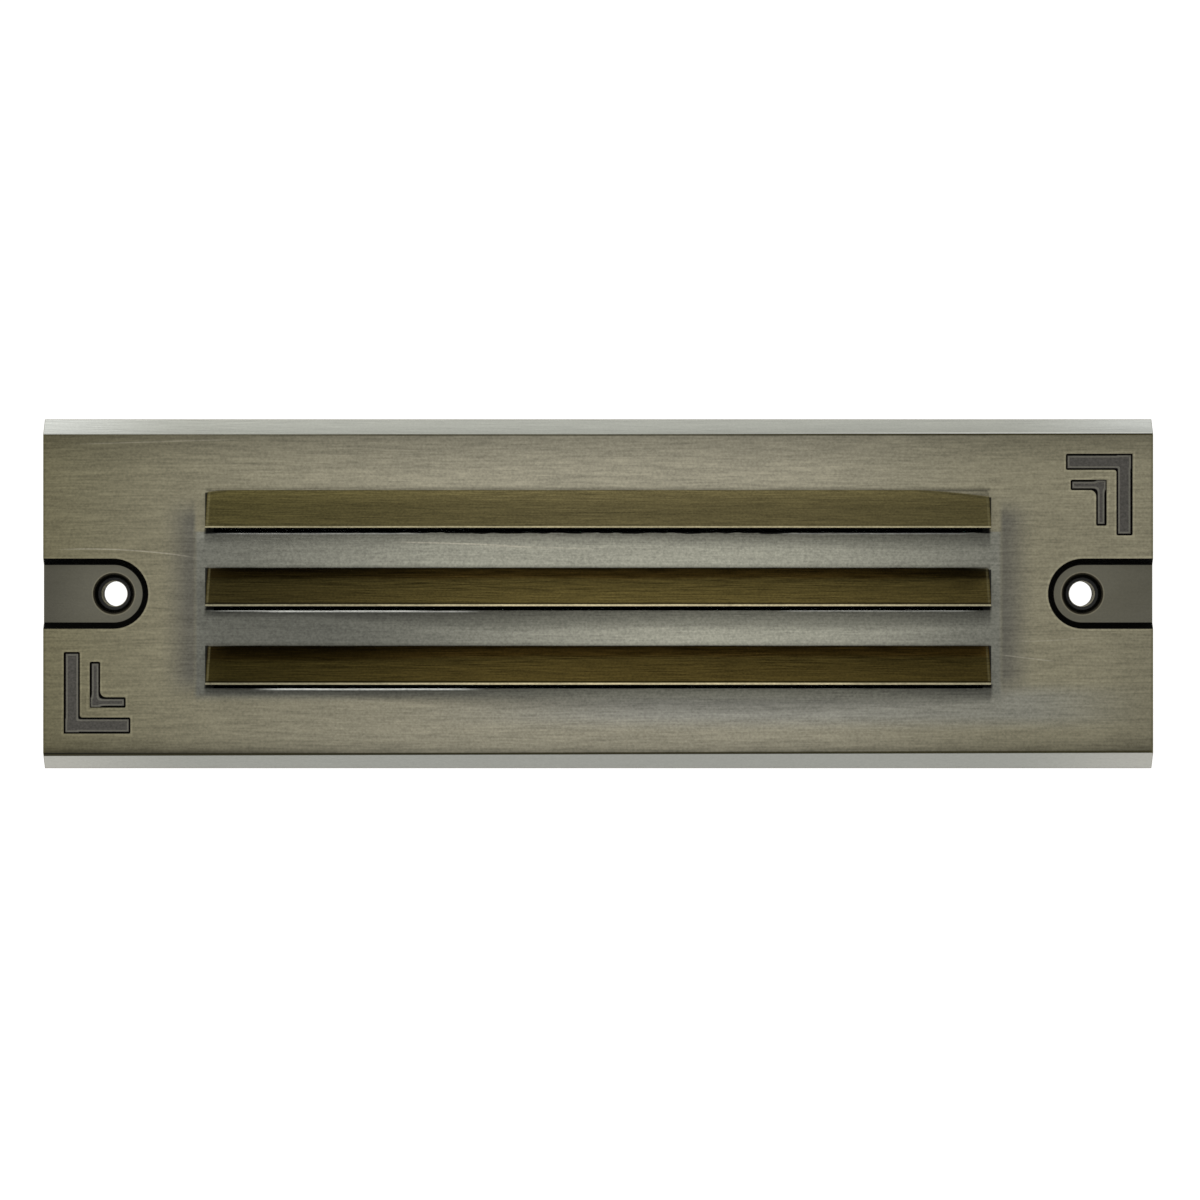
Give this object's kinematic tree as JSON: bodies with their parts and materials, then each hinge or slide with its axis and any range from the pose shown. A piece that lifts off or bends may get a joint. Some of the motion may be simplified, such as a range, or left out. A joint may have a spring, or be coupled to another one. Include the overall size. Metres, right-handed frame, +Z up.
{
  "type": "step light",
  "caption": "Oblong cast brass step light: bevelled faceplate with hooded louvres and countersunk end holes, over a frosted lens and a die-cast recessed housing with a cable gland.",
  "frame": {"origin": "middle of the faceplate's back rim plane, on the face of the wall, midway between the wall screw holes", "axes": "+X along the light to the right as seen from in front, +Y back into the wall, +Z up"},
  "size_m": [0.222, 0.0968, 0.07],
  "materials": {
    "antique_brass": "satin",
    "silicone_seal": "matte",
    "frosted_lens": "satin",
    "painted_housing": "satin",
    "stainless_screw": "satin",
    "spring_steel": "satin",
    "bright_aluminium": "polished",
    "plated_steel": "satin",
    "rivet_aluminium": "satin",
    "holder_ceramic": "matte",
    "contact_brass": "satin",
    "lamp_plastic": "gloss",
    "pin_metal": "polished",
    "lamp_glass": "gloss",
    "led_board": "matte",
    "led_phosphor": "satin",
    "grommet_rubber": "matte",
    "red_insulation": "satin",
    "black_insulation": "satin",
    "terminal_plastic": "satin",
    "nickelled_brass": "satin"
  },
  "bodies": {
    "root": {"faceplate": "antique_brass", "lens_gasket": "silicone_seal", "lens": "frosted_lens", "housing": "painted_housing", "housing_screws": "stainless_screw", "housing_washers": "spring_steel", "reflector_tray": "bright_aluminium", "tray_screws": "stainless_screw", "lamp_bracket_left": "plated_steel", "lamp_bracket_right": "plated_steel", "bracket_rivets": "rivet_aluminium", "lamp_holder_left": "holder_ceramic", "lamp_holder_right": "holder_ceramic", "holder_screws": "stainless_screw", "holder_contacts_left": "contact_brass", "holder_contacts_right": "contact_brass", "lamp_base_left": "lamp_plastic", "lamp_base_right": "lamp_plastic", "lamp_pins_left": "pin_metal", "lamp_pins_right": "pin_metal", "lamp_envelope_left": "lamp_glass", "lamp_envelope_right": "lamp_glass", "led_column_left": "led_board", "led_column_right": "led_board", "led_chips_left": "led_phosphor", "led_chips_right": "led_phosphor", "lead_grommet_left": "grommet_rubber", "lead_grommet_right": "grommet_rubber", "supply_lead_left": "red_insulation", "supply_lead_right": "red_insulation", "return_lead_left": "black_insulation", "return_lead_right": "black_insulation", "terminal_block": "terminal_plastic", "terminal_barrels": "contact_brass", "terminal_clamp_screws": "plated_steel", "terminal_fixing_screw": "stainless_screw", "gland_body": "nickelled_brass", "gland_seal_washer": "silicone_seal", "gland_locknut": "nickelled_brass", "gland_sealing_insert": "grommet_rubber", "gland_cap_nut": "nickelled_brass"}
  },
  "joints": []
}
